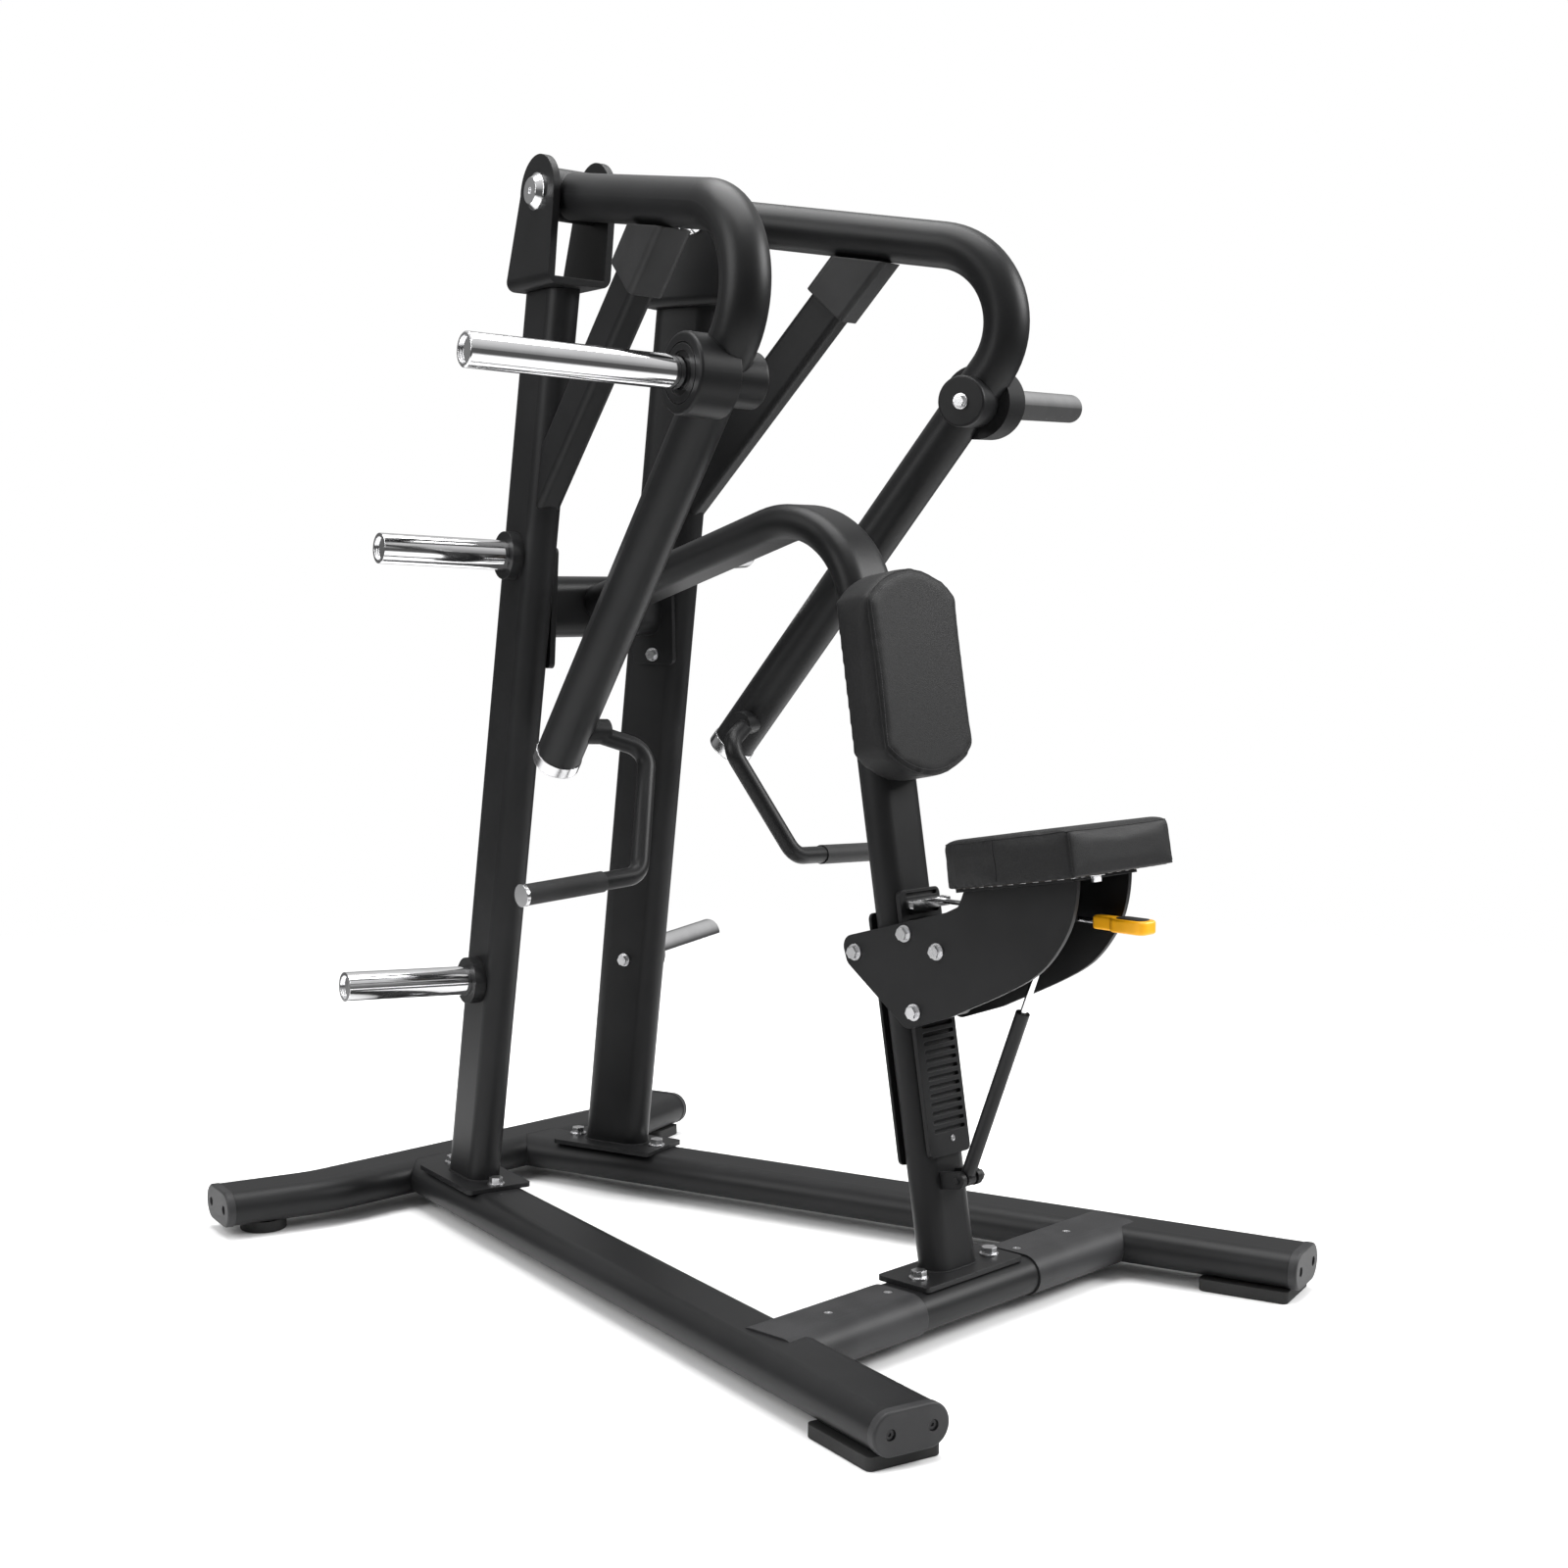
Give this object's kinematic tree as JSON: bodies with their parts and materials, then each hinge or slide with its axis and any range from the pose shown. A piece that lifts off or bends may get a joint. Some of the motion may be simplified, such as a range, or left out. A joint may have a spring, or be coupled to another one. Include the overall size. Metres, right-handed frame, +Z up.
{
  "type": "seated row machine",
  "caption": "plate-loaded chest-supported seated row with two swinging arms, sliding seat on a notched post, gas strut and storage horns",
  "frame": {"origin": "centre of the footprint on the floor", "axes": "+Z up, +X to the user's right, +Y from the seat toward the tower"},
  "size_m": [1.4042, 1.6077, 1.8242],
  "materials": {
    "frame_steel": "satin powder coat, fine texture",
    "arm_steel": "satin powder coat, fine texture",
    "cap_plastic": "moulded, fine grain",
    "foot_rubber": "matte",
    "bumper_rubber": "matte",
    "bolt_steel": "zinc bright",
    "horn_chrome": "polished",
    "pad_leather": "fine grain upholstery",
    "board_wood": "black faced ply",
    "roller_plastic": "smooth nylon",
    "grip_rubber": "matte",
    "yellow_plastic": "semi gloss",
    "insert_rubber": "soft matte",
    "rod_steel": "polished rod",
    "strut_paint": "satin",
    "screw_black": "black oxide",
    "trim_steel": "satin"
  },
  "bodies": {
    "frame": {"rear_bar": "frame_steel", "right_rail": "frame_steel", "left_rail": "frame_steel", "cross_tube": "frame_steel", "base_plates": "frame_steel", "right_upright": "frame_steel", "left_upright": "frame_steel", "right_clevis": "frame_steel", "left_clevis": "frame_steel", "right_brace": "frame_steel", "left_brace": "frame_steel", "upper_beam": "frame_steel", "seat_post": "frame_steel", "horn_collars": "frame_steel", "ladder_plate": "frame_steel", "guide_strip": "frame_steel", "strut_bracket": "frame_steel", "rear_bar_caps": "cap_plastic", "rail_caps": "cap_plastic", "joint_covers": "cap_plastic", "front_feet": "foot_rubber", "puck_foot": "foot_rubber", "block_foot": "foot_rubber", "brace_bumpers": "bumper_rubber", "cap_screws": "screw_black", "cover_screws": "bolt_steel", "base_bolts": "bolt_steel", "beam_bolts": "bolt_steel", "horn_bolts": "bolt_steel", "ladder_screw": "bolt_steel", "storage_horns": "horn_chrome", "right_pivot": "horn_chrome", "left_pivot": "horn_chrome", "chest_pad": "pad_leather", "pad_board": "board_wood"},
    "right_arm": {"right_arm_tube": "arm_steel", "right_arm_hub": "arm_steel", "right_horn": "horn_chrome", "right_handle": "arm_steel", "right_grip": "grip_rubber", "right_trim": "trim_steel"},
    "left_arm": {"left_arm_tube": "arm_steel", "left_arm_hub": "arm_steel", "left_horn": "horn_chrome", "left_handle": "arm_steel", "left_grip": "grip_rubber", "left_trim": "trim_steel"},
    "carriage": {"carriage_plates": "frame_steel", "seat_bracket": "frame_steel", "carriage_bolts": "bolt_steel", "seat_board": "board_wood", "seat_cushion": "pad_leather"},
    "release": {"release_rod": "rod_steel", "release_grip": "yellow_plastic", "grip_insert": "insert_rubber"},
    "rear_wheel": {"roller_rear": "roller_plastic"},
    "upper_wheel": {"roller_upper": "roller_plastic"},
    "lower_wheel": {"roller_lower": "roller_plastic"},
    "strut_body": {"strut_cylinder": "strut_paint"},
    "strut_stem": {"strut_rod": "rod_steel"}
  },
  "joints": [
    {"name": "right_arm_pivot", "type": "hinge", "parent": "frame", "child": "right_arm", "pos_m": [0.1623, 0.25003, 1.762], "axis": [-0.9695, -0.2417, -0.0401], "range_deg": [0, 50]},
    {"name": "left_arm_pivot", "type": "hinge", "parent": "frame", "child": "left_arm", "pos_m": [-0.1623, 0.25003, 1.762], "axis": [-0.9695, 0.2417, 0.0401], "range_deg": [0, 50]},
    {"name": "seat_slide", "type": "slide", "parent": "frame", "child": "carriage", "axis": [0, 0.1748, 0.9846], "range_m": [-0.16, 0.0135]},
    {"name": "release_pull", "type": "slide", "parent": "carriage", "child": "release", "axis": [0, -1, 0], "range_m": [0, 0.012], "stiffness_N_per_m": 900, "springref_m": -0.006},
    {"name": "rear_roller_spin", "type": "hinge", "parent": "carriage", "child": "rear_wheel", "pos_m": [0, -0.31012, 0.56763], "axis": [1, 0, 0], "range_deg": [-520, 90]},
    {"name": "upper_roller_spin", "type": "hinge", "parent": "carriage", "child": "upper_wheel", "pos_m": [0, -0.40926, 0.60757], "axis": [1, 0, 0], "range_deg": [-90, 520]},
    {"name": "lower_roller_spin", "type": "hinge", "parent": "carriage", "child": "lower_wheel", "pos_m": [0, -0.43023, 0.48942], "axis": [1, 0, 0], "range_deg": [-90, 520]},
    {"name": "strut_swing", "type": "hinge", "parent": "frame", "child": "strut_body", "pos_m": [0, -0.48267, 0.23], "axis": [1, 0, 0], "range_deg": [-4, 15]},
    {"name": "strut_stroke", "type": "slide", "parent": "strut_body", "child": "strut_stem", "axis": [0, -0.3523, 0.9359], "range_m": [-0.13, 0.025]}
  ],
  "couplings": [
    {"joint": "rear_roller_spin", "follows": "seat_slide", "rad_per_m": 55.556},
    {"joint": "upper_roller_spin", "follows": "seat_slide", "rad_per_m": -55.556},
    {"joint": "lower_roller_spin", "follows": "seat_slide", "rad_per_m": -55.556},
    {"joint": "strut_swing", "follows": "seat_slide", "rad_per_m": -1.45},
    {"joint": "strut_stroke", "follows": "seat_slide", "ratio": 0.8}
  ]
}
